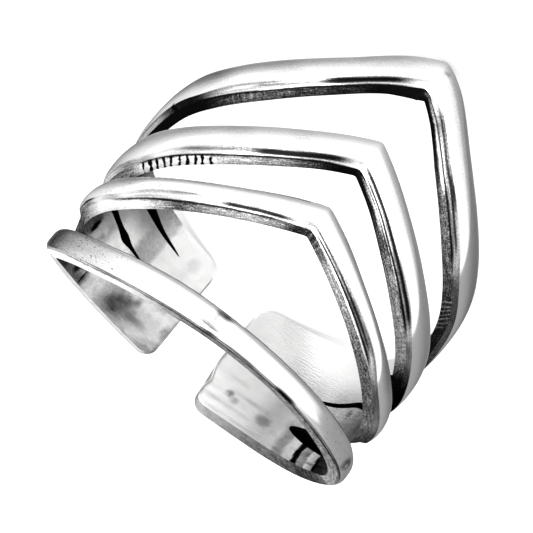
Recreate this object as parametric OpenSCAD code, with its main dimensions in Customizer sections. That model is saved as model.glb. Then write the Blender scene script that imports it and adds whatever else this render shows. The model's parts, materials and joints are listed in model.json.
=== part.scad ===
// Chevron ring: an open silver band for one finger. One plain band and three pointed
// bands run side by side over the front, close up at the sides and go over into two
// plates that end in free tabs with a gap at the back of the finger.
// It lies on its side, as it rests by itself: the point of the highest band and the
// corners of the two tabs touch the table, and the plain band is uppermost.

/* [Finger hole] */
// Inner diameter, the size of the finger
inner_d = 17.4; // [15:0.1:21]
// Thickness of the bands at their crown
crown_t = 0.9; // [0.8:0.05:1.3]
// Height of the shoulders above the finger hole, where the polished face begins
shoulder_t = 0.66; // [0.5:0.02:0.75]
// Thickness of the plates at the back
plate_t = 0.85; // [0.8:0.05:1.2]

/* [Bands over the front] */
// Width of the plain band's face
plain_w = 1.3; // [1:0.05:1.6]
// Width of the two upper chevrons' faces
chevron_w = 1.35; // [1.1:0.05:1.5]
// Width of the low chevron's face
low_w = 1; // [0.8:0.05:1.3]
// How far a chevron's lower wall leans out from the face down to the finger
wall_lean = 0.66; // [0.3:0.02:0.7]
// Lean of its upper wall
top_lean = 0.15; // [0.1:0.01:0.3]
// Lean of the plain band's two walls
plain_lean = 0.15; // [0.1:0.01:0.25]
// Height of the second band's point above the lower edge
point_2 = 7.96; // [7.6:0.02:8.6]
// Height of the third band's point
point_3 = 11.95; // [11.5:0.05:13]
// Height of the fourth band's point
point_4 = 17.04; // [16:0.02:19]
// Sweep of the second band's legs, 1 is straight
sweep_2 = 1.35; // [1.25:0.05:1.4]
// Sweep of the third band's legs
sweep_3 = 1.3; // [1.2:0.05:1.35]
// Sweep of the fourth band's legs
sweep_4 = 1.14; // [1.08:0.01:1.2]

/* [Sides] */
// Middle of the gap between the plain and the second band
side_12 = 1.55; // [1.45:0.05:1.7]
// Half of that gap
half_12 = 0.62; // [0.5:0.02:0.65]
// Middle of the slit between the second and the third band
side_23 = 3.9; // [3.8:0.05:4.1]
// Middle of the slit between the third and the fourth band
side_34 = 6.62; // [6.4:0.02:6.9]
// Half of a slit's width
half_slit = 0.17; // [0.1:0.01:0.2]
// Height of the ring at the side
side_h = 9.7; // [9.2:0.1:10.4]
// Lean of the walls where the slits begin
side_lean = 0.55; // [0.2:0.01:0.6]

/* [Plates and tabs] */
// Height of the plates where they begin
plate_h = 7.6; // [7.2:0.1:8.2]
// Height at the tabs' ends
tab_h = 7; // [6.6:0.1:7.2]
// Middle of the gap between plain and second band where it closes
back_12 = 1.9; // [1.7:0.05:2.1]
// Middle of the lower slit at the back
back_23 = 4.15; // [3.9:0.05:4.3]
// Middle of the upper slit at the back
back_34 = 5.9; // [5.6:0.05:6.1]
// Angle from the front to the tabs' ends
tab_angle = 170; // [166:1:172]
// Radius of the tabs' corners
corner_r = 1.2; // [0.6:0.1:1.6]
// Where the gap beside the plain band closes on the ring's left
close_left_12 = 114; // [110:1:124]
// Where it closes on the right
close_right_12 = 132; // [126:1:138]
// End of the lower slit, both sides
close_23 = 142; // [139:1:146]
// End of the upper slit on the left
close_left_34 = 153; // [149:1:156]
// End of the upper slit on the right
close_right_34 = 112; // [106:1:118]

/* [Hidden] */
inner_r = inner_d / 2;
outer_r = inner_r + crown_t;
core_r = inner_r - 0.08;
plates_from = 118;
front_fine = [1.5, 4];
step = 6;

// Smooth rise from 0 to 1 between the angles a and b
function rise(x, a, b) = let (u = min(1, max(0, (x - a) / (b - a)))) u * u * (3 - 2 * u);
// Rise that starts at once and slows down towards b
function ease(x, a, b) = let (u = min(1, max(0, (x - a) / (b - a)))) u * (2 - u);
function mix(a, b, u) = a + (b - a) * u;
// Falls from 1 at the side to 0 at a slit's end, with a rounded end
function fade(x, e) = let (u = min(1, max(0, (x - 90) / (e - 90)))) sqrt(max(0, 1 - u * u));

// Slit ends by side (s is -1 on the left, 1 on the right) and by slit (1, 2, 3)
function slit_end(s, i) = i == 1 ? (s < 0 ? close_left_12 : close_right_12)
    : i == 2 ? close_23 : (s < 0 ? close_left_34 : close_right_34);
function slit_half(s, i, x) = (i == 1 ? half_12 : half_slit) * fade(x, slit_end(s, i));
function slit_mid(i, x) = let (u = ease(x, 90, i == 3 ? 150 : plates_from))
    i == 1 ? mix(side_12, back_12, u) : i == 2 ? mix(side_23, back_23, u)
    : mix(side_34, back_34, u) - 0.6 * corner_r * rise(x, close_left_34, tab_angle - 4);

// Corner rounding at the tabs' ends: how far an edge steps in at angle x
function corner(x) = let (d = (tab_angle - x) * PI / 180 * inner_r, c = max(0, corner_r - d))
    corner_r - sqrt(max(0, corner_r * corner_r - c * c));
function top_edge(x) = mix(side_h, plate_h, ease(x, 90, plates_from))
    + (tab_h - plate_h) * max(0, x - plates_from) / (tab_angle - plates_from) - corner(x);
function low_edge(x) = corner(x);

// Face edges of band k at the side and behind it
function back_foot_lo(s, k, x) = k == 1 ? low_edge(x) : slit_mid(k - 1, x) + slit_half(s, k - 1, x);
function back_foot_hi(s, k, x) = k == 4 ? top_edge(x) : slit_mid(k, x) - slit_half(s, k, x);
function back_lo(s, k, x) = back_foot_lo(s, k, x) + (k == 1 ? plain_lean : side_lean * fade(x, slit_end(s, k - 1)));
function back_hi(s, k, x) = back_foot_hi(s, k, x) - (k == 4 ? plain_lean : 0);

// Face of band k in front of the sides: middle and width
function point_h(k) = k == 1 ? plain_lean + plain_w / 2 : k == 2 ? point_2 : k == 3 ? point_3 : point_4;
function sweep(k) = k == 1 ? 1.4 : k == 2 ? sweep_2 : k == 3 ? sweep_3 : sweep_4;
function face_w(k, x) = mix(k == 1 ? plain_w : k == 2 ? low_w : chevron_w, back_hi(1, k, 90) - back_lo(1, k, 90), rise(x, 55, 90));
function face_mid(k, x) = let (m = (back_hi(1, k, 90) + back_lo(1, k, 90)) / 2)
    m + (point_h(k) - m) * pow(max(0, 1 - x / 90), sweep(k));

function face_lo(s, k, x) = k == 1 ? low_edge(x) + plain_lean
    : x > 90 ? back_lo(s, k, x) : face_mid(k, x) - face_w(k, x) / 2;
function face_hi(s, k, x) = x > 90 ? back_hi(s, k, x)
    : k == 1 ? mix(plain_lean + plain_w, back_hi(s, 1, 90), rise(x, 20, 90)) : face_mid(k, x) + face_w(k, x) / 2;
function foot_lo(s, k, x) = k == 1 ? low_edge(x)
    : x > 90 ? back_foot_lo(s, k, x) : face_lo(s, k, x) - mix(wall_lean, side_lean, rise(x, 50, 90));
function foot_hi(s, k, x) = x > 90 ? back_foot_hi(s, k, x)
    : face_hi(s, k, x) + mix(k == 1 ? plain_lean : top_lean, k == 4 ? plain_lean : 0, rise(x, 50, 90));

// Heights of the face over the finger hole
function crown_r(x) = inner_r + mix(crown_t, plate_t, rise(x, 80, plates_from));
// A shoulder rises to the plate's own surface where its slit has closed
function shoulder_r(s, i, x) = let (low = inner_r + mix(shoulder_t, plate_t - 0.1, rise(x, 80, plates_from)))
    (i == 0 || i == 4) ? low : mix(low, crown_r(x), rise(x, slit_end(s, i) - 6, slit_end(s, i) + 14));

// Section of band k at signed angle a: seven points from the lower wall over the face.
// The walls run on inside the finger hole, which is cut out afterwards.
function run_on(foot, edge, r) = foot + (foot - edge) * (inner_r - core_r) / (r - inner_r);
function section(k, a) = let (x = abs(a), s = sign(a), lo = face_lo(s, k, x), hi = face_hi(s, k, x),
    c = crown_r(x), rl = shoulder_r(s, k - 1, x), rh = shoulder_r(s, k, x), w = hi - lo)
    [[core_r, run_on(foot_lo(s, k, x), lo, rl)], [rl, lo], [mix(rl, c, 0.75), lo + 0.22 * w], [c, lo + 0.5 * w],
     [mix(rh, c, 0.75), hi - 0.22 * w], [rh, hi], [core_r, run_on(foot_hi(s, k, x), hi, rh)]];
n = 7;

// Angles of the sections from the front to a tab's end
function half_angles(s) = let (ends = [slit_end(s, 1), slit_end(s, 2), slit_end(s, 3)],
    last = [for (d = [0, 0.03, 0.12, 0.3, 0.6, 1]) tab_angle - d * corner_r * 180 / PI / inner_r])
    concat(front_fine, [for (i = [2 : floor((last[5] - 2) / step)]) i * step], ends, last);
function sorted(v) = len(v) < 2 ? v : let (p = v[floor(len(v) / 2)])
    concat(sorted([for (x = v) if (x < p - 0.2) x]), [p], sorted([for (x = v) if (x > p + 0.2) x]));
angles = concat([for (x = sorted([for (a = half_angles(-1)) -a])) x], [0], sorted(half_angles(1)));
m = len(angles);

// Points of all four bands, section by section; the front looks along -Y
points = [for (k = [1 : 4]) for (j = [0 : m - 1]) for (p = section(k, angles[j]))
    [p[0] * sin(angles[j]), -p[0] * cos(angles[j]), p[1]]];
function id(k, j, i) = ((k - 1) * m + j) * n + i;
// True where the slit above band i is closed between the sections j and j + 1
function closed(i, j) = i > 0 && i < 4 && min(abs(angles[j]), abs(angles[j + 1])) > slit_end(sign(angles[j] + angles[j + 1]), i) - 0.01;
skin = [for (k = [1 : 4]) for (j = [0 : m - 2]) for (i = [0 : n - 1])
    if (!((i == 0 && closed(k - 1, j)) || (i == 5 && closed(k, j))))
    let (q = (i + 1) % n) for (t = [[id(k, j, i), id(k, j + 1, q), id(k, j + 1, i)], [id(k, j, i), id(k, j, q), id(k, j + 1, q)]]) t];
ends = concat([for (k = [1 : 4]) [for (i = [n - 1 : -1 : 0]) id(k, 0, i)]],
    [for (k = [1 : 4]) [for (i = [0 : n - 1]) id(k, m - 1, i)]]);

// How the ring lies: turned over, then tipped back until the tabs touch the table
point_top = foot_hi(1, 4, 0);
rim_r = inner_r + plate_t - 0.1;
tip = min([for (x = half_angles(1)) if (x > 120) atan((point_top - top_edge(x) + plain_lean) / (inner_r - rim_r * cos(x)))]);
rest_z = point_top * cos(tip) - inner_r * sin(tip);
// Reach of the lying ring to the front and the back, to set it over its own middle
reach = [for (p = points) if (norm([p[0], p[1]]) > inner_r - 0.01) p[1] * cos(tip) - p[2] * sin(tip)];
rest_y = -(min(reach) + max(reach)) / 2;

module ring_band() {
    color("silver")
    translate([0, rest_y, rest_z])
    rotate([-tip, 0, 0])
    rotate([0, 180, 0])
    difference() {
        polyhedron(points = points, faces = concat(skin, ends), convexity = 12);
        translate([0, 0, -2])
        cylinder(h = point_4 + 8, r = inner_r, $fn = 180);
    }
}

ring_band();
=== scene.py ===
"""Looks of the chevron ring: one soldered piece of polished silver with dark, oxidised side walls.

Heights run along the finger, from the plain band's lower edge to the chevrons' points.
Angles run round the finger from the front, in degrees, minus towards the ring's left tab.
Lengths are in millimetres until a mesh is laid in the frame.
Bands are counted from 0, the plain one, and slit 0 lies between bands 0 and 1.
"""

import json
import math

import bpy
import numpy as np
from mathutils import Matrix, Vector, noise


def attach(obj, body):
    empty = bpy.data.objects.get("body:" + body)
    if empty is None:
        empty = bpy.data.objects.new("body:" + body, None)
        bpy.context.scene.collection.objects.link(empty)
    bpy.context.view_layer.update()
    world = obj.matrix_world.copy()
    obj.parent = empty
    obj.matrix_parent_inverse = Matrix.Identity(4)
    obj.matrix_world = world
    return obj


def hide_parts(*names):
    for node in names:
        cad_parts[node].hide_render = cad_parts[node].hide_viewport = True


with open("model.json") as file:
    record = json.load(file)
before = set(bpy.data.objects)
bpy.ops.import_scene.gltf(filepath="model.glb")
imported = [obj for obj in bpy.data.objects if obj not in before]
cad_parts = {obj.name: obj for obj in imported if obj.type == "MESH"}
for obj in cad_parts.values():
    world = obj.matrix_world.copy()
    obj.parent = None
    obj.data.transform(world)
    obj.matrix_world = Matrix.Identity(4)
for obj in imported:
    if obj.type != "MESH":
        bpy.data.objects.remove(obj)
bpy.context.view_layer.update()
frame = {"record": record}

MM = 0.001

# The finger hole says where the ring lies and how big it is
hole = next(m for m in frame["record"]["mounts"] if m["name"] == "finger_hole")
HOLE_R = hole["dims"]["r_mm"]
RING_LENGTH = hole["dims"]["length_mm"]
HOLE_MIDDLE = np.array(hole["pos_m"]) / MM
UP_THE_FINGER = -np.array(hole["axis"])
TO_THE_FRONT = np.array((0, UP_THE_FINGER[2], -UP_THE_FINGER[1]))

# Radii: crown of the bands, shoulder of the chevrons' lower walls, all other shoulders, plates,
# the plates' shoulders, and the middle of the metal
CROWN_R = HOLE_R + 0.88
SHOULDER_R = HOLE_R + 0.46
RIM_R = HOLE_R + 0.6
PLATE_R = HOLE_R + 0.84
PLATE_SHOULDER_R = PLATE_R - 0.12
METAL_R = HOLE_R + 0.45
# How much further the foot of a wall reaches than its shoulder: lower walls of the chevrons in front
# and behind the sides, upper walls of the chevrons in front, and all other upper walls
WALL_LEAN = 0.32
SIDE_LEAN = 0.5
TOP_LEAN = 0.15
PLAIN_LEAN = 0.12
# Ground edge between a chevron's lower wall and its face, width and rise
BEVEL, BEVEL_RISE = 0.46, 0.26
# The same where it is narrow at the sides, with the rise there and on the plates
SIDE_BEVEL, SIDE_RISE, PLATE_RISE = 0.1, 0.3, 0.1
# Angles over which it narrows on the left and on the right, and over which its rise sinks to the plates'
NARROW_LEFT, NARROW_RIGHT = (48, 64), (38, 54)
SIDE_RISE_TO_PLATE = (80, 104)
# The plain band's ground edge, and the one between every upper wall and the face
PLAIN_BEVEL, PLAIN_RISE = 0.08, 0.12
TOP_BEVEL, TOP_RISE = 0.07, 0.13
# How much the foot of a wall is drawn in where it meets the inside
FOOT_ROUND = 0.04
# How flat the middle of a face is, for its lower and its upper half: 2 is round
PLAIN_CROWN = (4, 5)
CHEVRON_CROWN = (2.1, 2.1)

# Chevrons: angle from the front, inner foot of the lower wall, upper edge of the face
LOW_CHEVRON = ((0, 6.8, 8.5), (8, 6.27, 7.95), (24, 5.2, 6.73), (40, 4.2, 5.7), (56, 3.35, 4.9),
               (72, 2.75, 4.35))
MIDDLE_CHEVRON = ((0, 10.6, 12.62), (8, 9.93, 11.93), (24, 8.42, 10.47), (40, 7.1, 9.15),
                  (56, 6.05, 8.14), (72, 5.0, 7.35))
HIGH_CHEVRON = ((0, 15.7, 17.74), (8, 14.94, 17.02), (24, 13.02, 15.04), (40, 11.3, 13.43),
                (56, 10.0, 12.17), (72, 8.9, 11.15))
CHEVRONS = (LOW_CHEVRON, MIDDLE_CHEVRON, HIGH_CHEVRON)
# Degrees over which a chevron's four edges are rounded at its point
POINT_ROUNDING = (0.4, 0.8, 0.7, 0.7)
# The high chevron's point stands a little to the right: signed angle, rise of the foot,
# of the lower wall's top and of the face's upper edge
POINT_SHIFT = ((-60, 0.0, 0.0, 0.0), (-45, -0.02, -0.02, 0.02), (-20, -0.08, -0.05, 0.03),
               (-8, -0.1, 0.0, 0.05), (-3, -0.17, 0.05, 0.06), (0, -0.2, 0.12, 0.08),
               (2.2, 0.2, 0.2, 0.15), (4, 0.18, 0.12, 0.18), (8, 0.1, 0.05, 0.18),
               (12, 0.0, -0.05, 0.15), (18, -0.12, -0.12, 0.1), (30, -0.15, -0.15, 0.02),
               (45, -0.1, -0.1, 0.0), (60, 0.0, 0.0, 0.0))
# Plain band: signed angle, lower inner edge, upper edge of the face, step out to the lower edge of the face
PLAIN_BAND = ((-170, 0.42, 1.6, 0.0), (-150, 0.5, 1.4, 0.0), (-135, 0.52, 1.4, 0.0),
              (-120, 0.46, 1.4, 0.0), (-105, 0.3, 1.4, 0.05), (-90, 0.0, 1.22, 0.1),
              (-80, -0.2, 1.2, 0.12), (-72, -0.32, 1.14, 0.12), (-60, -0.4, 1.06, 0.12),
              (-48, -0.41, 1.04, 0.12), (-36, -0.32, 1.16, 0.12), (-24, -0.19, 1.32, 0.12),
              (-10, 0.0, 1.44, 0.12), (0, 0.1, 1.47, 0.12), (12, 0.17, 1.5, 0.12), (24, 0.19, 1.5, 0.12),
              (36, 0.15, 1.48, 0.12), (48, 0.07, 1.44, 0.12), (60, 0.02, 1.38, 0.1),
              (72, 0.0, 1.22, 0.05), (90, 0.05, 0.95, -0.05), (105, 0.2, 1.4, -0.2),
              (120, 0.27, 1.4, -0.3), (135, 0.33, 1.4, -0.35), (150, 0.36, 1.4, -0.35),
              (170, 0.28, 1.6, -0.3))

# Sides, plates and tabs
SIDE = 90
SIDE_TOP, PLATE_TOP, TAB_TOP = 9.7, 7.6, 7.0
PLATE_FROM, TAB_END = 118, 170
LOW_CORNER_R, TOP_CORNER_R = 0.7, 1.2
# Rounding of the tabs' end edges, and the share of the thickness that is left at the very end
END_ROUND, END_THICKNESS = 0.3, 0.45
# Angles over which the chevrons go over into the sides, the plain band into the plates,
# and the crown sinks to the plates
CHEVRON_TO_SIDE = (60, 90)
PLAIN_TO_PLATE = (84, 100)
CROWN_TO_PLATE = (80, PLATE_FROM)
# Slits: angle, height of the middle
SLIT_01 = ((90, 1.55), (104, 1.8), (118, 1.9), (132, 1.98), (170, 2.0))
SLIT_12 = ((90, 3.9), (100, 4.22), (110, 4.5), (118, 4.42), (128, 4.2), (140, 4.05), (170, 4.0))
SLIT_23 = ((90, 6.62), (110, 6.58), (130, 6.36), (140, 6.08), (151, 5.85), (170, 5.2))
SLITS = (SLIT_01, SLIT_12, SLIT_23)
# How much higher the middle slit runs on the right
RIGHT_SHIFT = ((90, 0), (98, 0.3), (107, 0.2), (112, 0), (118, -0.17), (130, -0.18), (170, -0.1))
# Half of each slit's width on the inside, and the angles where the slits end
SLIT_HALF = (0.6, 0.17, 0.17)
SLIT_END_LEFT = (114, 142, 153)
SLIT_END_RIGHT = (132, 130, 112)
# Where a slit widens on the left: slit, angle, half length in degrees, share
BULGES = ((1, 128, 4, 1.0), (2, 126, 12, 0.9))
# Where a slit narrows to a dark groove, closed on the outside: start and end in degrees
GROOVE_FROM = ((100, 113), (90, 108), (90, 108))
# How far two bands overlap on the outside of a groove
OVERLAP = 0.006
# Degrees before and behind a slit's end over which its shoulders rise to the plate
SOLDER_FROM, SOLDER_TO = 6, 12
# Ends of the tabs: height, degrees past the plain end, and the angle from which they are stretched
LEFT_END = ((0, -1.0), (1.2, -0.8), (3, -0.7), (4.5, -1.0), (7, -0.8))
RIGHT_END = ((0, -0.4), (0.8, -0.1), (1.3, 0.0), (1.8, -0.6), (2.2, 0.2), (2.7, 1.1), (3.6, 1.3),
             (5, 1.2), (7, 0.8))
END_FROM = 150

# Handwork: roughness of the walls, waves of the faces, and dents under marks darker than a given one
WALL_ROUGHNESS = 0.03
FACE_WAVES = 0.012
DENT, DENT_FROM = 0.03, 0.5

# Sections of the front, the plates and the tabs' ends: where they start or stop, and how many there are
FRONT_STOP, FRONT_SECTIONS = 96, 172
PLATES_START, PLATES_STOP, PLATES_SECTIONS = 96.6, TAB_END - 9, 104
TAB_START, TAB_SECTIONS = TAB_END - 8.5, 14
# Facets of a band's section, from the foot of the lower wall over the face to the inside
WALL_LO_STEPS = 6
BEVEL_STEPS = 6
FACE_STEPS = 11
TOP_BEVEL_STEPS = 2
WALL_HI_STEPS = 4
INNER_STEPS = 9
SHOULDER_LO = WALL_LO_STEPS
FACE_LO = SHOULDER_LO + BEVEL_STEPS
FACE_HI = FACE_LO + FACE_STEPS
SHOULDER_HI = FACE_HI + TOP_BEVEL_STEPS
FOOT_HI = SHOULDER_HI + WALL_HI_STEPS
AROUND = FOOT_HI + INNER_STEPS
# Edges sharper than this stay sharp, in degrees
SHARP = 28
MERGE_DISTANCE = 0.0005 * MM

# Darkness: 0 is bright silver, and this is black all over
BLACK = 1.15
# How dark the lower walls are along each band: signed angle, darkness. It is oxide, but on the plain
# band's rim behind its right side it is painted shade
WALL_DARK = (
    ((-170, 0.1), (-62, 0.03), (-36, 0.06), (-22, 0.25), (-12, 0.5), (20, 0.48), (60, 0.42), (90, 0.35),
     (112, 0.6), (145, 0.55), (168, 0.3)),
    ((-100, 0.7), (-88, 0.6), (-80, 0.3), (-72, 0.05), (-52, 0.08), (-45, 0.4), (-38, 0.72), (-28, 0.5),
     (-18, 0.36), (-8, 0.45), (-4, 0.85), (3, 0.85), (9, 0.6), (12, 0.5), (24, 0.56), (36, 0.66),
     (46, 0.64), (60, 0.56), (72, 0.4), (80, 0.6), (100, 0.8)),
    ((-100, 0.7), (-80, 0.6), (-71, 0.5), (-66, 0.08), (-44, 0.15), (-36, 0.36), (-28, 0.42), (-18, 0.5),
     (-10, 0.85), (-3, 1.12), (8, 1.0), (18, 0.8), (32, 0.58), (45, 0.45), (58, 0.42), (66, 0.95),
     (74, 1.12), (100, 1.12)),
    ((-100, 1.15), (-62, 1.12), (-54, 0.85), (-44, 0.78), (-30, 0.82), (-16, 0.88), (-9, 1.12),
     (6, 1.15), (15, 0.95), (24, 0.78), (36, 0.68), (48, 0.7), (60, 0.8), (74, 0.9), (100, 1.1)),
)
# The same of the upper walls, even along each band
UPPER_WALL_DARK = (0.25, 0.6, 0.6, 0.6)
# Painted reflections on the ground edge between wall and face: how dark the edge is on average
EDGE_DARK = (
    ((-170, 0.1), (-62, 0.3), (-20, 0.6), (60, 0.6), (90, 0.3), (170, 0.3)),
    ((-100, 0.3), (-88, 0.6), (-76, 0.6), (-68, 0.2), (-40, 0.3), (-5, 0.2), (40, 0.3), (60, 0.35),
     (100, 0.4)),
    ((-100, 0.2), (-62, 0.2), (-24, 0.3), (-2, 0.15), (30, 0.25), (60, 0.45), (100, 0.5)),
    ((-100, 0.3), (-62, 0.25), (-22, 0.3), (-1, 0.1), (20, 0.25), (60, 0.3), (100, 0.4)),
)
# Share of the painted reflected lines along that edge, from the wall to the face
EDGE_LINES = (1.3, 0.5, 0.9, 0.4, 1.0, 1.5, 0.3)
# How unevenly those lines run, and how much the narrow edge at the sides takes on the wall's darkness
EDGE_UNEVEN, EDGE_LIKE_WALL = 0.9, 0.85
# Angles over which the edge on the left gets back to its own shade
LEFT_EDGE_CLEAN = (72, 82)
# Long streaks along the lower walls and edges, on the edges mostly painted reflected lines: band, from, to,
# row of the section, half width in rows, darkness
STREAKS = (
    (0, -60, -5, 6, 0.8, 0.5), (0, -15, 60, 6, 0.8, 0.6), (1, -62, -8, 6, 0.8, 0.7),
    (1, -26, -7, 8.6, 1.4, 0.9), (1, 1, 42, 7.2, 0.8, 1.0), (1, -1, 38, 9.2, 0.8, 0.85),
    (1, 6, 40, 6, 0.7, -0.5), (2, -66, -6, 6, 0.8, 0.8), (2, -50, -26, 9.5, 0.8, 0.5),
    (2, -27, -5, 9, 1.7, 1.0), (2, 2, 16, 4.8, 1.3, -0.7), (2, 3, 47, 7, 0.9, 0.95),
    (2, 1, 44, 9.6, 1.1, 0.95), (3, -60, -5, 6, 0.7, 0.7), (3, -42, -22, 9, 0.8, 0.5),
    (3, -24, -6, 9.3, 1.8, 0.95), (3, 2, 24, 4.7, 1.4, -0.9), (3, 4, 44, 6.3, 0.8, 0.9),
    (3, 6, 42, 9, 1.0, 0.8), (3, 8, 30, 10.6, 0.7, 0.5),
)
# How many rows a streak on the edge wanders
WANDER = 0.5
# Greyness of the polished faces
FACE_DARK = (
    ((-170, 0.1), (-98, 0.2), (-90, 0.5), (-80, 0.54), (-74, 0.46), (-67, 0.36), (-58, 0.25),
     (-46, 0.16), (-38, 0.05), (40, 0.0), (46, 0.05), (60, 0.05), (75, 0.1), (95, 0.12), (170, 0.05)),
    ((-170, 0.05), (-88, 0.05), (-70, 0.04), (70, 0.0), (90, 0.05), (170, 0.05)),
    ((-170, 0.05), (-95, 0.1), (-80, 0.1), (-66, 0.02), (70, 0.0), (90, 0.05), (170, 0.05)),
    ((-170, 0.05), (-90, 0.05), (70, 0.0), (90, 0.05), (170, 0.05)),
)
# Painted shade: how much greyer each band's face gets towards its upper edge, and between which shares of
# its width
UPPER_FACE_DARK = (0, 0.13, 0.13, 0.2)
UPPER_FACE_FROM, UPPER_FACE_END = (0.1, 0.65), (0.75, 1)
# This painted shade is more on the low chevron's right leg, between two angles
LOW_CHEVRON_EXTRA, EXTRA_FROM, EXTRA_TO = 0.8, 34, 56
# It is less within about these degrees of a point
CLEAN_POINT = 8
# Broad grey sweeps of painted reflection on the chevrons' faces, on the left legs, and how they come in
# over the point
SWEEPS, SWEEPS_FROM = 0.16, (-30, 30)
# Darkness of the line along each band's upper edge of the face
TOP_LINE_DARK = (0.45, 0.1, 0.1, 0.1)
# Darkness on the inside of the plates: signed angle, darkness low, in the middle and high on the plate
INSIDE_DARK = (
    (-171, 0.1, 0.0, 0.0), (-157, 0.14, 0.0, 0.0), (-149, 0.22, 0.0, 0.02), (-146, 0.24, 0.03, 0.04),
    (-144.3, 0.24, 0.24, 0.24), (-136, 0.18, 0.22, 0.24), (-133.5, 0.1, 0.0, 0.24),
    (-126, 0.05, 0.0, 0.24), (-124.5, 0.3, 0.0, 0.24), (-116, 0.4, 0.06, 0.24), (-106, 0.4, 0.32, 0.5),
    (-95, 0.4, 0.4, 0.4), (-85, 0.05, 0.05, 0.05), (85, 0.05, 0.05, 0.05), (95, 0.5, 0.35, 0.0),
    (104, 0.6, 0.34, 0.0), (106, 0.85, 0.3, 0.0), (107.3, 0.1, 0.28, 0.0), (112.5, 0.06, 0.26, 0.0),
    (113.4, 0.42, 0.24, 0.0), (118, 0.25, 0.2, 0.0), (118.6, 0.9, 0.18, 0.0), (121.2, 0.9, 0.15, 0.0),
    (121.8, 0.03, 0.12, 0.0), (126.5, 0.03, 0.05, 0.0), (128, 0.3, 0.04, 0.0), (131, 0.3, 0.03, 0.0),
    (133.5, 0.08, 0.02, 0.0), (171, 0.0, 0.0, 0.0),
)
# Heights over which the low part of a plate goes over into the middle, and the middle into the high part
LOW_TO_MIDDLE = (1.9, 2.6)
MIDDLE_TO_HIGH = (4.6, 6.2)
# How far the borders of the patches wave on the left and on the right, in degrees
WAVY_LEFT, WAVY_RIGHT = 0.15, 0.4
# Darkness of the clouds on the left and on the right plate, and the angles and heights over which they come
# and go
CLOUD_LEFT, CLOUD_RIGHT = 0.45, 0.25
CLOUDS_FROM, CLOUDS_UP_TO = (95, 110), (2.2, 4.5)
# Soft border of a spot or mark, in shares of its size, and of a streak, with its soft ends in degrees
SPOT_BORDER = (0.45, 1.35)
STREAK_BORDER, STREAK_ENDS = 1.35, 4
# Spots on the inside: angle, height, half length in degrees, half height, darkness
SPOTS = (
    (-145, 1.42, 5.0, 0.55, 0.19), (-141, 1.1, 5, 0.5, 0.13), (-148, 1.35, 8, 0.75, 0.12),
    (-152, 2.3, 1.6, 0.3, 0.25), (-168, 2.1, 1.8, 0.5, 0.2), (-160, 6.0, 3.0, 0.5, 0.1),
    (-165, 1.0, 3, 0.25, 0.12), (-123.4, 1.0, 0.6, 0.45, 0.5), (-106, 3.1, 2.5, 0.45, 0.4),
    (-117, 1.1, 2, 0.4, 0.35), (160, 1.75, 1.7, 0.13, 0.5), (157, 1.55, 2, 0.12, 0.3),
    (143, 1.5, 3.6, 0.3, 0.28), (150, 0.62, 14, 0.07, 0.12), (110, 0.6, 3, 0.07, 0.3),
    (109, 4.0, 2, 0.25, 0.2),
)
# Marks on the faces: band, angle, height, half length in degrees, half height, darkness
MARKS = (
    (0, -4.2, 1.26, 2.6, 0.15, 0.5), (0, -2.4, 1.3, 1.8, 0.1, 0.2), (0, -5.6, 0.38, 3.4, 0.2, 0.42),
    (0, -3.4, 0.3, 2.4, 0.14, 0.16), (0, -5.6, 0.95, 0.6, 0.25, 0.15), (0, 4, 0.34, 9, 0.05, 0.35),
    (0, 24, 0.37, 4, 0.06, 0.8), (0, 65, 0.55, 3.4, 0.35, 0.3), (0, 66, 0.5, 1.4, 0.14, -0.25),
    (0, 48, 0.1, 5, 0.08, 0.5), (3, -73, 9.25, 0.55, 0.1, 0.8), (3, 2, 17.2, 1.2, 0.1, 0.25),
    (3, -6, 17.7, 1.2, 0.08, 0.25),
)
# Angles over which the edges of the slits turn black
BLACK_EDGE_FROM = (98, 106)
# Ridges across the lower walls: band, from, to, strength of the coarse ones, strength of the fine ones
RIDGES = ((2, -66, -39, 1.0, 0.0), (3, -52, -42, 0.0, 0.4), (3, 58, 71, 0.0, 0.9), (1, -1, 6, 0.0, 0.5),
          (2, 40, 56, 0.0, 0.2))
# Fine pits: band, from, to, strength
SPECKS = ((0, -60, -46, 1.0), (0, -43, -37, 0.8), (0, 40, 64, 0.4), (1, -72, -40, 0.3))
# How rough the finish is, 1 as it was cut and 0 as it was polished
WALL_FINISH, EDGE_FINISH, FACE_FINISH, INSIDE_FINISH = 1.0, 0.35, 0.05, 0.2
# The plain band's walls are smoother from an angle behind the sides on
PLAIN_RIM_FINISH, PLAIN_RIM_FROM = 0.3, 95

# Map for the grain: how far apart its rows and bands lie, and the inside from the outside
ROWS_APART, BANDS_APART, INSIDE_APART = 0.1, 5, 30
# How fine the grain and the pits are in the frame, and the streaks and the two kinds of ridges on the map
SAND_FINENESS, PIT_FINENESS = 14000, 9000
STREAK_FINENESS, COARSE_FINENESS, FINE_FINENESS = 1.6, 0.75, 1.1
# How dark the coarse ridges are, how bright the fine ones, and how dark the pits
CUT_DARK, FINE_BRIGHT, PIT_DARK = 0.95, 0.38, 0.85
# The shader's roughness where the metal was polished, and how much more it is where it was cut
POLISHED, CUT_MORE = 0.12, 0.38
BUMP_DEPTH = 0.05 * MM
# Tones of the metal: darkness, colour
SILVER_TONES = ((0, (0.96, 0.96, 0.955)), (0.2, (0.6, 0.6, 0.606)), (0.4, (0.31, 0.31, 0.3131)),
                (0.6, (0.125, 0.125, 0.12625)), (0.8, (0.028, 0.028, 0.02828)), (0.9, (0.01, 0.01, 0.0101)),
                (1, (0.004, 0.004, 0.004)))
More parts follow.
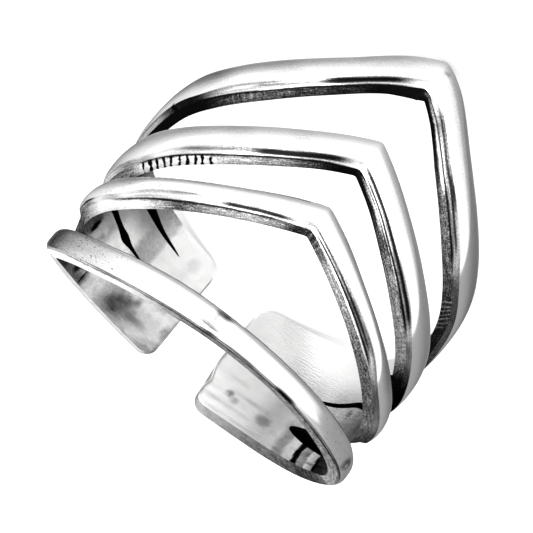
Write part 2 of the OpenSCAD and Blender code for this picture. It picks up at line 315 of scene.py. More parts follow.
# Brightness of the surroundings by the height of the direction, -1 straight down to 1 straight up:
# on the left tab's side, on the right tab's side, and there behind the ring
LEFT_TENT = ((-1, 0.52), (-0.7, 0.6), (-0.45, 0.86), (-0.2, 1.1), (0, 1.35), (1, 1.35))
RIGHT_TENT = ((-1, 0.34), (-0.5, 0.5), (-0.2, 0.7), (-0.05, 0.85), (0.02, 1.3), (1, 1.3))
BACK_TENT = ((-1, 0.3), (-0.6, 0.34), (-0.2, 0.38), (0.25, 0.42), (0.5, 0.6), (0.75, 1.0), (1, 1.12))
# Where the right tone goes over into the left one, by how far the direction goes across, and where it
# goes over into the back's tone, by how far it goes back, less a share of its height
LEFT_TENT_FROM = (-0.5, 0.05)
BACK_TENT_FROM = (-0.28, -0.12)
BACK_TENT_SLANT = -0.7
# Floor and lamp: sizes and places in metres
FLOOR_SIZE, FLOOR_GREY, FLOOR_GLOW = 0.5, 0.6, 0.56
LAMP_PLACE, LAMP_SIZE, LAMP_POWER = (0.03, -0.02, 0.2), (0.12, 0.12), 0.5

# The photograph's view, from the ring's own axes: across, to the front and up the finger
CAMERA_PLACE = (-3.964, 87.112, -14.866)
CAMERA_TOWARDS = (0.04405, -0.96791, 0.2474)
CAMERA_ROLL = 38.84
CAMERA_LENS, CAMERA_SENSOR = 117.906, 36
CAMERA_SHIFT = (-0.02264, -0.01612)


def rise(x, a, b):
    """Smooth rise from 0 to 1 between a and b."""
    u = np.clip((x - a) / (b - a), 0, 1)
    return u * u * (3 - 2 * u)


def mix(a, b, u):
    return a + (b - a) * u


def flow(x, rows, column=1):
    """Smooth curve through the rows of a table, read at x."""
    at = np.array([r[0] for r in rows], float)
    value = np.array([r[column] for r in rows], float)
    slope = np.gradient(value, at)
    x = np.clip(x, at[0], at[-1])
    i = np.clip(np.searchsorted(at, x) - 1, 0, len(at) - 2)
    h = at[i + 1] - at[i]
    u = np.clip((x - at[i]) / h, 0, 1)
    start = (1 + 2 * u) * (1 - u) ** 2 * value[i] + u * (1 - u) ** 2 * h * slope[i]
    return start + u * u * (3 - 2 * u) * value[i + 1] + u * u * (u - 1) * h * slope[i + 1]


def straight(x, rows, column=1):
    """Straight lines through the rows of a table, read at x."""
    return np.interp(x, [r[0] for r in rows], [r[column] for r in rows])


def stretch(a, start, end, soft=1.5):
    """1 between two angles, with soft ends."""
    return rise(a, start - soft, start + soft) * (1 - rise(a, end - soft, end + soft))


def oval(a, h, at, height, long, high):
    """1 in the middle of an oval spot, 0 outside it."""
    return 1 - rise(np.hypot((a - at) / long, (h - height) / high), *SPOT_BORDER)


def noise_at(x, y, z):
    """Soft noise at every point."""
    return np.array([noise.noise(Vector(p)) for p in zip(*np.broadcast_arrays(x, y, z))])


def grainy_at(x, y, z, roughness, layers):
    """Noise with finer and finer layers at every point."""
    points = zip(*np.broadcast_arrays(x, y, z))
    return np.array([noise.fractal(Vector(p), roughness, 2.0, layers) for p in points])


def slit_end(slit, angle):
    return np.where(angle < 0, SLIT_END_LEFT[slit], SLIT_END_RIGHT[slit])


def fade(slit, angle):
    """Falls from 1 at the side to 0 at a slit's rounded end."""
    u = np.clip((np.abs(angle) - SIDE) / (slit_end(slit, angle) - SIDE), 0, 1)
    return np.sqrt(1 - u * u)


def slit_half(slit, angle):
    """Half of a slit's width on the inside of the ring."""
    wider = np.ones_like(angle)
    for which, at, long, share in BULGES:
        if which == slit:
            wider = wider + (angle < 0) * share * np.exp(-((np.abs(angle) - at) / long) ** 2)
    return SLIT_HALF[slit] * fade(slit, angle) * wider


def slit_middle(slit, angle):
    x = np.abs(angle)
    return flow(x, SLITS[slit]) + (slit == 1) * (angle > 0) * flow(x, RIGHT_SHIFT)


def corner(x, radius):
    """How far an edge steps in at the tab's rounded corner."""
    reach = np.clip(radius - np.radians(TAB_END - x) * HOLE_R, 0, radius)
    return radius - np.sqrt(radius ** 2 - reach ** 2)


def top_edge(x):
    """Height of the ring's upper edge behind the sides."""
    u = np.clip((x - SIDE) / (PLATE_FROM - SIDE), 0, 1)
    plate = np.clip((x - PLATE_FROM) / (TAB_END - PLATE_FROM), 0, 1)
    return mix(SIDE_TOP, PLATE_TOP, u * (2 - u)) + (TAB_TOP - PLATE_TOP) * plate - corner(x, TOP_CORNER_R)


def low_edge(angle):
    return flow(angle, PLAIN_BAND, 1) + corner(np.abs(angle), LOW_CORNER_R)


def outer_half(slit, angle, lean):
    """Half of a slit's width on the outside of the ring, up to where it closes to a groove."""
    groove = rise(np.abs(angle), *GROOVE_FROM[slit])
    faded = fade(slit, angle)
    return mix(slit_half(slit, angle) + lean * faded, -OVERLAP * faded, groove)


def back_lines(band, angle):
    """Foot, face edge, face edge and foot of a band behind the sides."""
    if band == 0:
        foot_lo = low_edge(angle)
        face_lo = foot_lo + flow(angle, PLAIN_BAND, 3)
    else:
        middle = slit_middle(band - 1, angle)
        foot_lo = middle + slit_half(band - 1, angle)
        face_lo = middle + outer_half(band - 1, angle, SIDE_LEAN)
    if band == 3:
        foot_hi = top_edge(np.abs(angle))
        face_hi = foot_hi - PLAIN_LEAN
    else:
        middle = slit_middle(band, angle)
        foot_hi = middle - slit_half(band, angle)
        face_hi = middle - outer_half(band, angle, PLAIN_LEAN)
    return foot_lo, face_lo, face_hi, foot_hi


def plain_lines(angle):
    """Heights of the plain band's four edges."""
    foot_lo, face_lo, face_hi, foot_hi = back_lines(0, angle)
    high = flow(np.clip(angle, -SIDE, SIDE), PLAIN_BAND, 2)
    behind = rise(np.abs(angle), *PLAIN_TO_PLATE)
    return foot_lo, face_lo, mix(high, face_hi, behind), mix(high + PLAIN_LEAN, foot_hi, behind)


def chevron_lines(band, angle):
    """Heights of a chevron's four edges, rounded at its point."""
    x = np.abs(angle)
    side_lo, _, side_hi, _ = back_lines(band, np.array([float(SIDE)]))
    rows = CHEVRONS[band - 1] + ((SIDE, side_lo[0], side_hi[0]),)
    at_side = rise(x, *CHEVRON_TO_SIDE)
    lean_lo = mix(WALL_LEAN, SIDE_LEAN, at_side)
    lean_hi = mix(TOP_LEAN, PLAIN_LEAN, at_side)
    foot_lo, face_lo, face_hi, foot_hi = (flow(np.hypot(x, soft), rows, column)
                                          for column, soft in zip((1, 1, 2, 2), POINT_ROUNDING))
    foot_up, wall_up, face_up = ((band == 3) * straight(angle, POINT_SHIFT, column) for column in (1, 2, 3))
    front = (foot_lo + foot_up, face_lo + lean_lo + wall_up, face_hi + face_up, foot_hi + lean_hi + face_up)
    return tuple(np.where(x > SIDE, b, f) for b, f in zip(back_lines(band, angle), front))


def crown(x):
    return mix(CROWN_R, PLATE_R, rise(x, *CROWN_TO_PLATE))


def shoulder(border, angle, start):
    """Radius of the shoulder along a border: 0 is the lower rim, 4 the upper rim, the others are slits."""
    x = np.abs(angle)
    low = mix(start, PLATE_SHOULDER_R, rise(x, *CROWN_TO_PLATE))
    if border in (0, 4):
        return low
    end = slit_end(border - 1, angle)
    return mix(low, crown(x), rise(x, end - SOLDER_FROM, end + SOLDER_TO))


def openness(border, angle):
    """1 where the slit beside a wall is open, 0 where the bands are soldered together."""
    if border in (0, 4):
        return np.ones_like(angle)
    return fade(border - 1, angle)


def narrowed(angle):
    """Rises to 1 towards the sides, where the ground edge narrows to a line."""
    return np.where(angle < 0, rise(-angle, *NARROW_LEFT), rise(angle, *NARROW_RIGHT))


def station_angles():
    """Angles of the sections, closest together at the tabs' ends, with one at every slit's end."""
    front = np.linspace(0, FRONT_STOP, FRONT_SECTIONS)
    plates = np.linspace(PLATES_START, PLATES_STOP, PLATES_SECTIONS)
    to_end = 1 - np.linspace(0, 1, TAB_SECTIONS)[1:]
    tab = TAB_END - to_end ** 2 * (TAB_END - TAB_START)
    half = np.concatenate([front, plates, tab])
    signed = np.concatenate([-half[:0:-1], half])
    for left, right in zip(SLIT_END_LEFT, SLIT_END_RIGHT):
        for end in (-left, right):
            signed[np.argmin(np.abs(signed - end))] = end
    return signed


def ground_edge(band, angle):
    """Width and rise of the ground edge along a band."""
    open_lo = openness(band, angle)
    if band == 0:
        return PLAIN_BEVEL * open_lo, PLAIN_RISE * open_lo
    front = 1 - narrowed(angle)
    side_rise = mix(SIDE_RISE, PLATE_RISE, rise(np.abs(angle), *SIDE_RISE_TO_PLATE))
    return mix(SIDE_BEVEL, BEVEL, front) * open_lo, mix(side_rise, BEVEL_RISE, front) * open_lo


def band_section(band, angle):
    """Radius and height of every point of a band, for all its sections at once."""
    foot_lo, lo, hi, foot_hi = plain_lines(angle) if band == 0 else chevron_lines(band, angle)
    open_lo, open_hi = openness(band, angle), openness(band + 1, angle)
    r_lo = shoulder(band, angle, RIM_R if band == 0 else SHOULDER_R)
    r_hi = shoulder(band + 1, angle, RIM_R)
    top = crown(np.abs(angle))
    bevel_lo, lift_lo = ground_edge(band, angle)
    bevel_hi, lift_hi = TOP_BEVEL * open_hi, TOP_RISE * open_hi
    radius = np.zeros((len(angle), AROUND))
    height = np.zeros((len(angle), AROUND))
    for i in range(WALL_LO_STEPS + 1):
        u = i / WALL_LO_STEPS
        radius[:, i] = mix(HOLE_R, r_lo, u)
        height[:, i] = mix(foot_lo, lo, u) + FOOT_ROUND * open_lo * (1 - u) ** 6
    for i in range(WALL_HI_STEPS + 1):
        u = i / WALL_HI_STEPS
        radius[:, FOOT_HI - i] = mix(HOLE_R, r_hi, u)
        height[:, FOOT_HI - i] = mix(foot_hi, hi, u) - FOOT_ROUND * open_hi * (1 - u) ** 6
    for i in range(1, BEVEL_STEPS + 1):
        u = i / BEVEL_STEPS
        radius[:, SHOULDER_LO + i] = r_lo + lift_lo * u
        height[:, SHOULDER_LO + i] = lo + bevel_lo * u
    for i in range(1, TOP_BEVEL_STEPS + 1):
        u = i / TOP_BEVEL_STEPS
        radius[:, SHOULDER_HI - i] = r_hi + lift_hi * u
        height[:, SHOULDER_HI - i] = hi - bevel_hi * u
    flat_lo, flat_hi = PLAIN_CROWN if band == 0 else CHEVRON_CROWN
    for i in range(FACE_STEPS + 1):
        u = i / FACE_STEPS
        edge_r = mix(r_lo + lift_lo, r_hi + lift_hi, u)
        swell = 1 - abs(2 * u - 1) ** (flat_lo if u < 0.5 else flat_hi)
        radius[:, FACE_LO + i] = mix(edge_r, top, swell)
        height[:, FACE_LO + i] = mix(lo + bevel_lo, hi - bevel_hi, u)
    for i in range(1, INNER_STEPS):
        radius[:, FOOT_HI + i] = HOLE_R
        height[:, FOOT_HI + i] = mix(height[:, FOOT_HI], height[:, 0], i / INNER_STEPS)
    return radius, height


def wall_darkness(band, i, a):
    """Oxide on the walls, with painted shade on the plain band's rim behind its right side, black where the
    slits narrow to grooves.
    """
    x = np.abs(a)
    lower = straight(a, WALL_DARK[band])
    upper = np.full(len(a), UPPER_WALL_DARK[band])
    if band > 0:
        lower = np.maximum(lower, BLACK * rise(x, *GROOVE_FROM[band - 1]))
    if band < 3:
        upper = np.maximum(upper, BLACK * rise(x, *GROOVE_FROM[band]))
    return np.where(i >= SHOULDER_HI, upper, lower)


def edge_darkness(band, i, a, wall):
    """Ground edge: uneven lines of painted reflection at the front, and near the sides much like the wall's
    oxide.
    """
    line = np.clip(i - SHOULDER_LO, 0, BEVEL_STEPS)
    uneven = noise_at(a * 0.09, 3.1 * line, 11.0 * band)
    edge = straight(a, EDGE_DARK[band]) * np.array(EDGE_LINES)[line] * (1 + EDGE_UNEVEN * uneven)
    if band > 0:
        like_wall = EDGE_LIKE_WALL * narrowed(a) * (1 - 0.7 * rise(-a, *LEFT_EDGE_CLEAN))
        edge = mix(edge, 0.9 * wall, like_wall)
    return edge


def face_darkness(band, i, a, h):
    """Greyness of the polished face, with painted shade more towards its upper edge and less at a chevron's
    point, and sweeps of painted reflection on the chevrons' left legs.
    """
    up = (i - FACE_LO) / FACE_STEPS
    grey = UPPER_FACE_DARK[band] * rise(up, *UPPER_FACE_FROM) * (1 - 0.6 * rise(up, *UPPER_FACE_END))
    grey = grey * (1 - 0.6 * np.exp(-(a / CLEAN_POINT) ** 2))
    if band == 1:
        grey = grey * (1 + LOW_CHEVRON_EXTRA * stretch(a, EXTRA_FROM, EXTRA_TO, 6))
    face = straight(a, FACE_DARK[band]) + grey
    if band > 0:
        sweep = noise_at(a * 0.05 + h * 0.35, h * 0.2, 3.1 * band)
        face = face + SWEEPS * np.clip(sweep + 0.1, 0, 1) * rise(-a, *SWEEPS_FROM)
    return face + (i > FACE_HI) * TOP_LINE_DARK[band]


def inside_darkness(a, h):
    """Darker patches on the inside of the plates, with wavy borders, clouds and spots."""
    left = a < 0
    wavy = a + np.where(left, WAVY_LEFT, WAVY_RIGHT) * (np.sin(h * 5) + 0.6 * np.sin(h * 11 + a))
    low, middle, high = (straight(wavy, INSIDE_DARK, column) for column in (1, 2, 3))
    inside = mix(mix(low, middle, rise(h, *LOW_TO_MIDDLE)), high, rise(h, *MIDDLE_TO_HIGH))
    left_cloud = CLOUD_LEFT * np.clip(grainy_at(a * 0.09, h * 0.9, 2.0, 0.8, 3) + 0.1, 0, 1)
    right_cloud = CLOUD_RIGHT * np.clip(grainy_at(a * 0.045, h * 3.2, 5.0, 0.8, 3) - 0.2, 0, 1)
    low_on_plate = 1 - rise(h, *CLOUDS_UP_TO) * np.where(left, 0.8, 1.0)
    inside = inside + np.where(left, left_cloud, right_cloud) * rise(np.abs(a), *CLOUDS_FROM) * low_on_plate
    for at, height, long, tall, dark in SPOTS:
        inside = inside + dark * oval(a, h, at, height, long, tall)
    return inside


def streaks_along(band, i, a):
    """Long wandering streaks on the lower wall and the ground edge: oxide on the wall, and mostly painted
    reflected lines on the edge.
    """
    wander = noise_at(a * 0.08, 9.0, 5.0 * band)
    total = np.zeros(len(a))
    for which, start, end, row, half, dark in STREAKS:
        if which == band:
            off = WANDER * wander * (row > SHOULDER_LO)
            near = np.clip(STREAK_BORDER - np.abs(i - row - off) / half, 0, 1)
            total = total + dark * near * stretch(a, start, end, STREAK_ENDS) * (i <= FACE_LO)
    return total


def marks_on(band, a, h):
    total = np.zeros(len(a))
    for which, at, height, long, tall, dark in MARKS:
        if which == band:
            total = total + dark * oval(a, h, at, height, long, tall)
    return total


def darkness(band, i, a, h):
    """How dark each point is: oxide and some painted shade on the walls, painted reflections on the ground
    edge, painted shade and reflections on the face, and darker patches on the inside.
    """
    wall = wall_darkness(band, i, a)
    streaks, marks = streaks_along(band, i, a), marks_on(band, a, h)
    edge = edge_darkness(band, i, a, wall) + streaks + marks
    face = face_darkness(band, i, a, h) + marks
    black = BLACK * rise(np.abs(a), *BLACK_EDGE_FROM)
    black_lo = black * (openness(band, a) > 0) * (band > 0)
    black_hi = black * (openness(band + 1, a) > 0) * (band < 3)
    edge = np.maximum(edge, black_lo)
    face = np.maximum(face, np.maximum(black_lo * (i <= FACE_LO), black_hi * (i > FACE_HI)))
    return [np.clip(v, 0, BLACK) for v in (wall + streaks, edge, face, inside_darkness(a, h))]


def flat_strip(name, columns, rows):
    """Adds a flat grid. Returns it with the row and the column of each of its points."""
    bpy.ops.object.select_all(action="DESELECT")
    bpy.ops.mesh.primitive_grid_add(x_subdivisions=columns, y_subdivisions=rows, size=1)
    strip = bpy.context.object
    strip.name = name
    flat = np.zeros(len(strip.data.vertices) * 3)
    strip.data.vertices.foreach_get("co", flat)
    flat = flat.reshape(-1, 3)
    i = np.rint((flat[:, 1] + 0.5) * rows).astype(int)
    j = np.rint((flat[:, 0] + 0.5) * columns).astype(int)
    return strip, i, j


def handwork(band, i, a, r, h):
    """Makes the walls rough and the face a little wavy, and dents it under its darkest marks."""
    wall_lo = (i > 0) & (i < SHOULDER_LO)
    wall_hi = (i > SHOULDER_HI) & (i < FOOT_HI)
    across_face = np.clip((i - FACE_LO) / FACE_STEPS, 0, 1)
    on_face = (across_face > 0) & (across_face < 1)
    rough = WALL_ROUGHNESS * grainy_at(a * 0.5, r * 3.2, h * 3.2 + 7 * band, 0.7, 4)
    h = h + wall_lo * rough * openness(band, a) - wall_hi * rough * openness(band + 1, a)
    r = r + FACE_WAVES * np.sin(np.pi * across_face) * noise_at(a * 0.06 + 3, h * 0.5, band * 1.7)
    for which, at, height, long, tall, dark in MARKS:
        if which == band and dark > DENT_FROM:
            r = r - DENT * on_face * oval(a, h, at, height, long, tall)
    return r, h


def finish_tabs(a, r, h):
    """Rounds the tabs' ends over and makes them a little uneven."""
    to_end = np.radians(TAB_END - np.abs(a)) * HOLE_R
    over = np.sqrt(np.clip(1 - (1 - np.clip(to_end / END_ROUND, 0, 1)) ** 2, 0, 1))
    r = METAL_R + (r - METAL_R) * mix(END_THICKNESS, 1, over)
    past = np.where(a < 0, flow(h, LEFT_END), flow(h, RIGHT_END))
    return a + np.sign(a) * past * rise(np.abs(a), END_FROM, TAB_END), r


def build_band(band, angle):
    """Rolls a flat strip into one band and returns its object."""
    strip, i, j = flat_strip(f"band_{band}", len(angle) - 1, AROUND)
    radius, height = band_section(band, angle)
    a, r, h = angle[j], radius[j, i % AROUND], height[j, i % AROUND]
    looks = darkness(band, i, a, h)
    r, h = handwork(band, i, a, r, h)
    a, r = finish_tabs(a, r, h)
    place(strip, a, r, h)
    paint_corners(strip, band, i, a, h, looks)
    open_up_slits(strip, band, angle, i, j)
    return strip


def place(obj, angle, radius, height):
    """Lays points given by angle, radius and height in the frame, in metres."""
    t = np.radians(angle)
    spot = HOLE_MIDDLE + np.outer(-radius * np.sin(t), (1, 0, 0))
    spot = spot + np.outer(radius * np.cos(t), TO_THE_FRONT)
    spot = spot + np.outer(height - RING_LENGTH / 2, UP_THE_FINGER)
    obj.data.vertices.foreach_set("co", (spot * MM).ravel())
    obj.data.update()


def paint_corners(strip, band, i, a, h, looks):
    """Keeps the looks of every face at its corners, so that they stop sharply at an edge."""
    corners = np.zeros(len(strip.data.loops), int)
    strip.data.loops.foreach_get("vertex_index", corners)
    quads = i[corners].reshape(-1, 4)
    lowest, highest = np.repeat(quads.min(1), 4), np.repeat(quads.max(1), 4)
    on_edge = (lowest >= SHOULDER_LO) & (highest <= FACE_LO)
    on_face = (lowest >= FACE_LO) & (highest <= SHOULDER_HI)
    on_inside = lowest >= FOOT_HI
    on_wall = ~(on_edge | on_face | on_inside)
    zones = (on_wall, on_edge, on_face, on_inside)
    coarse, fine, specks = (np.zeros(len(corners)) for _ in range(3))
    for which, start, end, coarse_part, fine_part in RIDGES:
        if which == band:
            here = stretch(a, start, end)[corners] * on_wall * (highest <= SHOULDER_LO)
            coarse = coarse + here * coarse_part
            fine = fine + here * fine_part
    for which, start, end, part in SPECKS:
        if which == band:
            specks = specks + stretch(a, start, end, 3)[corners] * part * ~on_inside
    plain_rim = (band == 0) & (np.abs(a[corners]) > PLAIN_RIM_FROM)
    wall_finish = np.where(plain_rim, PLAIN_RIM_FINISH, WALL_FINISH)
    # The darkness painted on the corners is oxide, with painted shade and painted reflections on the edges
    # and faces
    values = {
        "oxide_and_painted_shade": np.select(zones, [v[corners] for v in looks]),
        "rough": np.select(zones, [wall_finish, EDGE_FINISH, FACE_FINISH, INSIDE_FINISH]),
        "ridges": coarse, "fine_ridges": fine, "specks": specks,
    }
    for name, value in values.items():
        strip.data.attributes.new(name, "FLOAT", "CORNER").data.foreach_set("value", value.astype(float))
    lay_grain(strip, band, i, a, h, corners, on_inside)


def lay_grain(strip, band, i, a, h, corners, on_inside):
    """UV map for the grain: along the band, and across it by rows or, on the inside, by height."""
    along = np.column_stack([np.radians(a) * HOLE_R, BANDS_APART * band + i * ROWS_APART])[corners]
    along[on_inside, 1] = h[corners][on_inside] + INSIDE_APART
    strip.data.uv_layers.new(name="along")
    strip.data.uv_layers["along"].data.foreach_set("uv", along.ravel())


def open_up_slits(strip, band, angle, i, j):
    """Takes the walls away where two bands are soldered into one plate."""
    closed = np.array([np.abs(angle) > slit_end(slit, angle) - 0.001 for slit in range(3)])
    deselect_mesh(strip)
    bpy.context.tool_settings.mesh_select_mode = (False, False, True)
    for face in strip.data.polygons:
        rows = [i[v] for v in face.vertices]
        columns = [j[v] for v in face.vertices]
        low, high, ends = min(rows), max(rows), [min(columns), max(columns)]
        lower = band > 0 and high <= SHOULDER_LO and closed[band - 1, ends].all()
        upper = band < 3 and low >= SHOULDER_HI and high <= FOOT_HI and closed[band, ends].all()
        face.select = bool(lower or upper)
    bpy.ops.object.mode_set(mode="EDIT")
    bpy.ops.mesh.delete(type="FACE")
    bpy.ops.object.mode_set(mode="OBJECT")


def deselect_mesh(obj):
    for part in (obj.data.vertices, obj.data.edges, obj.data.polygons):
        part.foreach_set("select", [False] * len(part))


def solder(bands):
    """Joins the bands into one closed piece and fills the tabs' ends."""
    bpy.ops.object.select_all(action="DESELECT")
    for band in bands:
        band.select_set(True)
    bpy.context.view_layer.objects.active = bands[0]
    bpy.ops.object.join()
    ring = bpy.context.object
    ring.name = ring.data.name = "ring_silver"
    bpy.ops.object.mode_set(mode="EDIT")
    bpy.ops.mesh.select_mode(type="VERT")
    bpy.ops.mesh.select_all(action="SELECT")
    bpy.ops.mesh.remove_doubles(threshold=MERGE_DISTANCE)
    bpy.ops.mesh.select_all(action="DESELECT")
    bpy.ops.mesh.select_non_manifold(extend=False, use_wire=False, use_boundary=True,
                                     use_multi_face=False, use_non_contiguous=False, use_verts=False)
    bpy.ops.mesh.edge_face_add()
    bpy.ops.mesh.select_all(action="SELECT")
    bpy.ops.mesh.normals_make_consistent(inside=False)
    bpy.ops.object.mode_set(mode="OBJECT")
    bpy.ops.object.shade_smooth_by_angle(angle=math.radians(SHARP))
    return ring


def node(tree, kind, **settings):
    """Adds a node. Nodes are set out in rows of eight."""
    n = tree.nodes.new(kind)
    made = len(tree.nodes)
    n.location = (made % 8 * 220, made // 8 * -320)
    for key, value in settings.items():
        setattr(n, key, value)
    return n


def feed(tree, socket, value):
    """Links a socket to another one, or sets it to a number."""
    if isinstance(value, bpy.types.NodeSocket):
        tree.links.new(value, socket)
    else:
        socket.default_value = value


def maths(tree, operation, *values, clamp=False):
    n = node(tree, "ShaderNodeMath", operation=operation, use_clamp=clamp)
    for socket, value in zip(n.inputs, values):
        feed(tree, socket, value)
    return n.outputs[0]


def times_add(tree, value, factor, more, clamp=False):
    return maths(tree, "MULTIPLY_ADD", value, factor, more, clamp=clamp)


def ramp(tree, factor, rows):
    """Colour ramp through the rows: place from 0 to 1, colour."""
    n = node(tree, "ShaderNodeValToRGB")
    stops = n.color_ramp.elements
    stops.remove(stops[1])
    for k, (position, colour) in enumerate(rows):
        stop = stops.new(position) if k > 0 else stops[0]
        stop.position = position
        stop.color = (*colour, 1)
    feed(tree, n.inputs["Fac"], factor)
    return n.outputs["Color"]


def grain(tree, vector, stretched, scale, detail, roughness):
    turn = node(tree, "ShaderNodeMapping")
    turn.inputs["Scale"].default_value = stretched
    feed(tree, turn.inputs["Vector"], vector)
    n = node(tree, "ShaderNodeTexNoise")
    n.inputs["Scale"].default_value = scale
    n.inputs["Detail"].default_value = detail
    n.inputs["Roughness"].default_value = roughness
    feed(tree, n.inputs["Vector"], turn.outputs["Vector"])
    return n.outputs["Fac"]


def cross_waves(tree, vector, scale, distortion):
    """Waves that run across the band."""
    n = node(tree, "ShaderNodeTexWave", wave_type="BANDS", bands_direction="X")
    n.inputs["Scale"].default_value = scale
    n.inputs["Distortion"].default_value = distortion
    n.inputs["Detail"].default_value = 2
    n.inputs["Detail Scale"].default_value = 1.6
    feed(tree, n.inputs["Vector"], vector)
    return n.outputs["Fac"]


def painted(tree, name):
    """Reads one of the looks that were painted on the corners."""
    return node(tree, "ShaderNodeAttribute", attribute_name=name).outputs["Fac"]


def broken_oxide_and_painted_shade(tree, streaks, sand, rough):
    """The painted darkness, oxide with painted shade and reflections, broken up by streaks and grain, most
    where it is half dark and the finish rough.
    """
    oxide_and_painted_shade = painted(tree, "oxide_and_painted_shade")
    strength = times_add(tree, oxide_and_painted_shade, times_add(tree, oxide_and_painted_shade, -1.6, 1.84), 0.03)
    loose = maths(tree, "MULTIPLY", strength, times_add(tree, rough, 0.9, 0.25))
    loose_grain = maths(tree, "ADD", times_add(tree, streaks, 1.4, -0.7), times_add(tree, sand, 2.2, -1.1))
    return maths(tree, "ADD", oxide_and_painted_shade, maths(tree, "MULTIPLY", loose_grain, loose))


def cut_ridges(tree, strip):
    """Coarse ridges, cut unevenly across the band."""
    uneven = grain(tree, strip, (1, 3, 1), 1.1, 1, 0.5)
    wave = cross_waves(tree, strip, COARSE_FINENESS, 3.5)
    coarse = times_add(tree, uneven, 1.6, maths(tree, "ADD", wave, -0.8))
    return maths(tree, "MULTIPLY", times_add(tree, coarse, 4.5, -2.7, clamp=True), painted(tree, "ridges"))


def fine_ridges(tree, strip):
    fine = times_add(tree, cross_waves(tree, strip, FINE_FINENESS, 3.0), 2.2, -1.2, clamp=True)
    return maths(tree, "MULTIPLY", fine, painted(tree, "fine_ridges"))


def pits(tree, where):
    dust = times_add(tree, grain(tree, where, (1, 1, 1), PIT_FINENESS, 2, 0.5), 16, -10.4, clamp=True)
    return maths(tree, "MULTIPLY", dust, painted(tree, "specks"))


def polished_silver():
    """Silver, bright where it was polished and black where the oxide was left, its colour also darkened by
    painted shade and painted reflections.
    """
    mat = bpy.data.materials.new("oxidised_silver")
    mat.use_nodes = True
    tree = mat.node_tree
    shader = tree.nodes["Principled BSDF"]
    strip = node(tree, "ShaderNodeUVMap", uv_map="along").outputs["UV"]
    where = node(tree, "ShaderNodeTexCoord").outputs["Object"]
    rough = painted(tree, "rough")
    streaks = grain(tree, strip, (0.9, 7, 1), STREAK_FINENESS, 5, 0.6)
    sand = grain(tree, where, (1, 1, 1), SAND_FINENESS, 3, 0.6)
    cut = cut_ridges(tree, strip)

    # Coarse ridges and pits are dark, and fine ridges stand out bright
    dark = broken_oxide_and_painted_shade(tree, streaks, sand, rough)
    dark = times_add(tree, cut, CUT_DARK, dark)
    dark = times_add(tree, fine_ridges(tree, strip), -FINE_BRIGHT, dark)
    dark = times_add(tree, pits(tree, where), PIT_DARK, dark, clamp=True)
    colour = ramp(tree, dark, SILVER_TONES)

    bump = node(tree, "ShaderNodeBump")
    feed(tree, bump.inputs["Distance"], BUMP_DEPTH)
    feed(tree, bump.inputs["Height"], maths(tree, "SUBTRACT", streaks, cut))
    feed(tree, bump.inputs["Strength"], times_add(tree, rough, 0.6, 0.02))
    feed(tree, shader.inputs["Metallic"], 1.0)
    feed(tree, shader.inputs["Base Color"], colour)
    feed(tree, shader.inputs["Specular Tint"], colour)
    feed(tree, shader.inputs["Roughness"], times_add(tree, rough, CUT_MORE, POLISHED))
    feed(tree, shader.inputs["Normal"], bump.outputs["Normal"])
    return mat


def floor_paper():
    mat = bpy.data.materials.new("floor_paper")
    mat.use_nodes = True
    shader = mat.node_tree.nodes["Principled BSDF"]
    shader.inputs["Base Color"].default_value = (FLOOR_GREY, FLOOR_GREY, FLOOR_GREY, 1)
    shader.inputs["Roughness"].default_value = 0.9
    shader.inputs["Emission Color"].default_value = (1, 1, 1, 1)
    shader.inputs["Emission Strength"].default_value = FLOOR_GLOW
    return mat


def lay_floor():
    bpy.ops.mesh.primitive_plane_add(size=FLOOR_SIZE, location=(0, 0, 0))
    floor = bpy.context.object
    floor.name = "floor"
    floor.data.materials.append(floor_paper())
    floor.visible_glossy = False


def softbox(name, place, aim, size, power):
    """A large soft lamp aimed at a point."""
    bpy.ops.object.light_add(type="AREA", location=place)
    lamp = bpy.context.object
    lamp.name = name
    lamp.data.shape = "RECTANGLE"
    lamp.data.size, lamp.data.size_y = size
    lamp.data.energy = power
    lamp.rotation_euler = (Vector(aim) - Vector(place)).to_track_quat("-Z", "Y").to_euler()


def share(tree, value, start, end, kind="SMOOTHSTEP"):
    """Share from 0 to 1 between start and end."""
    n = node(tree, "ShaderNodeMapRange", interpolation_type=kind)
    n.inputs["From Min"].default_value = start
    n.inputs["From Max"].default_value = end
    feed(tree, n.inputs["Value"], value)
    return n.outputs["Result"]


def blend(tree, factor, first, second):
    """Mixes two colours."""
    n = node(tree, "ShaderNodeMix", data_type="RGBA")
    for name, value in (("Factor_Float", factor), ("A_Color", first), ("B_Color", second)):
        feed(tree, next(k for k in n.inputs if k.identifier == name), value)
    return next(k for k in n.outputs if k.identifier == "Result_Color")


def tent_tones(tree, up, rows):
    """Brightness of one side of the tent. Up runs from 0, straight down, to 1, straight up."""
    return ramp(tree, up, [((tall + 1) / 2, (bright, bright, bright)) for tall, bright in rows])


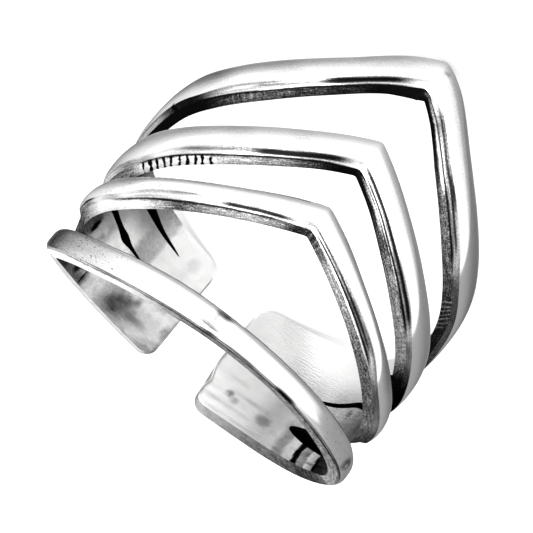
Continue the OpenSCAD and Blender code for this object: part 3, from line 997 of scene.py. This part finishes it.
def light_studio():
    """A bright tent, dimmer below the ring and behind its right side, and one soft lamp above."""
    world = bpy.data.worlds.new("studio")
    bpy.context.scene.world = world
    world.use_nodes = True
    tree = world.node_tree
    tent = tree.nodes["Background"]
    axes = node(tree, "ShaderNodeSeparateXYZ")
    feed(tree, axes.inputs[0], node(tree, "ShaderNodeTexCoord").outputs["Generated"])
    up = share(tree, axes.outputs["Z"], -1, 1, "LINEAR")
    slant = times_add(tree, axes.outputs["Z"], BACK_TENT_SLANT, axes.outputs["Y"])
    left, right, back = (tent_tones(tree, up, rows) for rows in (LEFT_TENT, RIGHT_TENT, BACK_TENT))
    right = blend(tree, share(tree, slant, *BACK_TENT_FROM), right, back)
    around = blend(tree, share(tree, axes.outputs["X"], *LEFT_TENT_FROM), right, left)
    feed(tree, tent.inputs["Color"], around)
    feed(tree, tent.inputs["Strength"], 1.0)
    softbox("top_box", LAMP_PLACE, (0, 0, 0), LAMP_SIZE, LAMP_POWER)


def in_frame(across, front, up):
    """A direction given on the ring's own axes, in the frame."""
    return Vector((-across, 0, 0)) + Vector(TO_THE_FRONT) * front + Vector(UP_THE_FINGER) * up


def set_camera():
    data = bpy.data.cameras.new("camera")
    camera = bpy.data.objects.new("camera", data)
    bpy.context.scene.collection.objects.link(camera)
    across, front, up = CAMERA_PLACE
    camera.location = (Vector(HOLE_MIDDLE) + in_frame(across, front, up - RING_LENGTH / 2)) * MM
    back = -in_frame(*CAMERA_TOWARDS).normalized()
    level = Vector(UP_THE_FINGER).cross(back).normalized()
    right = Matrix.Rotation(math.radians(CAMERA_ROLL), 3, back) @ level
    camera.rotation_euler = Matrix((right, back.cross(right), back)).transposed().to_euler()
    data.sensor_width = CAMERA_SENSOR
    data.lens = CAMERA_LENS
    data.shift_x, data.shift_y = CAMERA_SHIFT
    data.clip_start = MM
    bpy.context.scene.camera = camera


angles = station_angles()
ring = solder([build_band(band, angles) for band in range(4)])
ring.data.materials.clear()
ring.data.materials.append(polished_silver())
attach(ring, "root")
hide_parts("ring_band")

lay_floor()
light_studio()
set_camera()
bpy.context.scene.view_settings.view_transform = "Standard"
